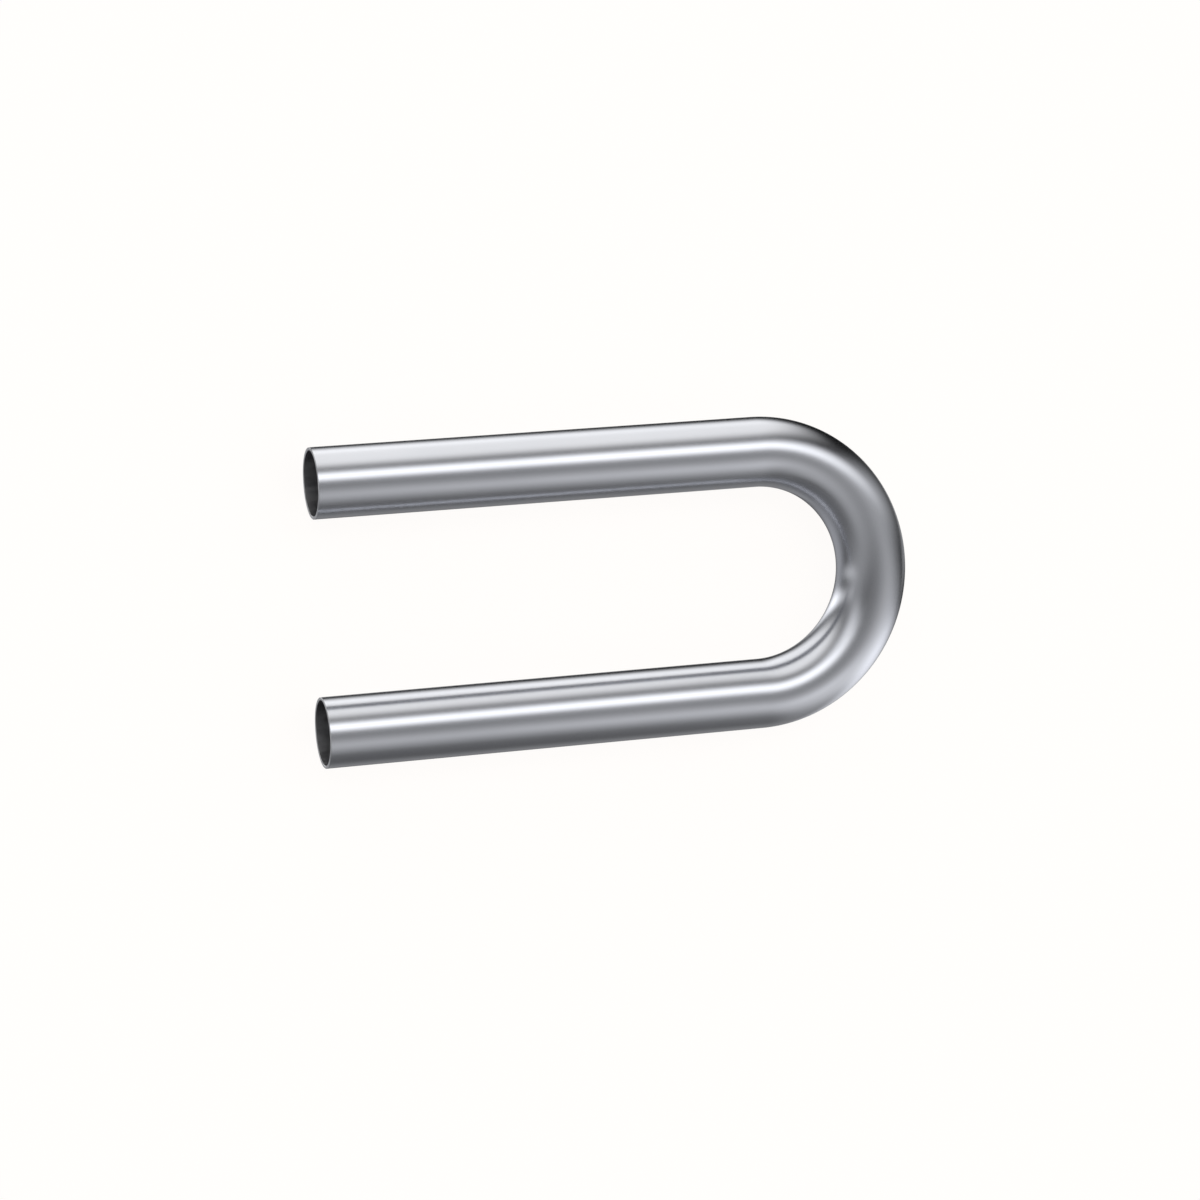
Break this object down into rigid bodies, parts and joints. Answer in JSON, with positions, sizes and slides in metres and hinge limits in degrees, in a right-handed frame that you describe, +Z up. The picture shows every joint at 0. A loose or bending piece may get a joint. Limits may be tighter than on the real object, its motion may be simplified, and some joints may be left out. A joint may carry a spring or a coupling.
{
  "type": "exhaust pipe bend",
  "caption": "Round steel tube bent 180 degrees into a U with two equal straight legs, for joining exhaust pipes.",
  "frame": {"origin": "on the surface that the bend lies on, under the middle of its outline", "axes": "+X along the legs from the open ends to the bend, +Y across from the outlet leg to the inlet leg, +Z up from the surface"},
  "size_m": [0.4413, 0.2286, 0.0508],
  "materials": {
    "satin_steel": "satin polish along the tube, duller bore, bare sawn ends"
  },
  "bodies": {
    "root": {"pipe_bend": "satin_steel"}
  },
  "joints": []
}
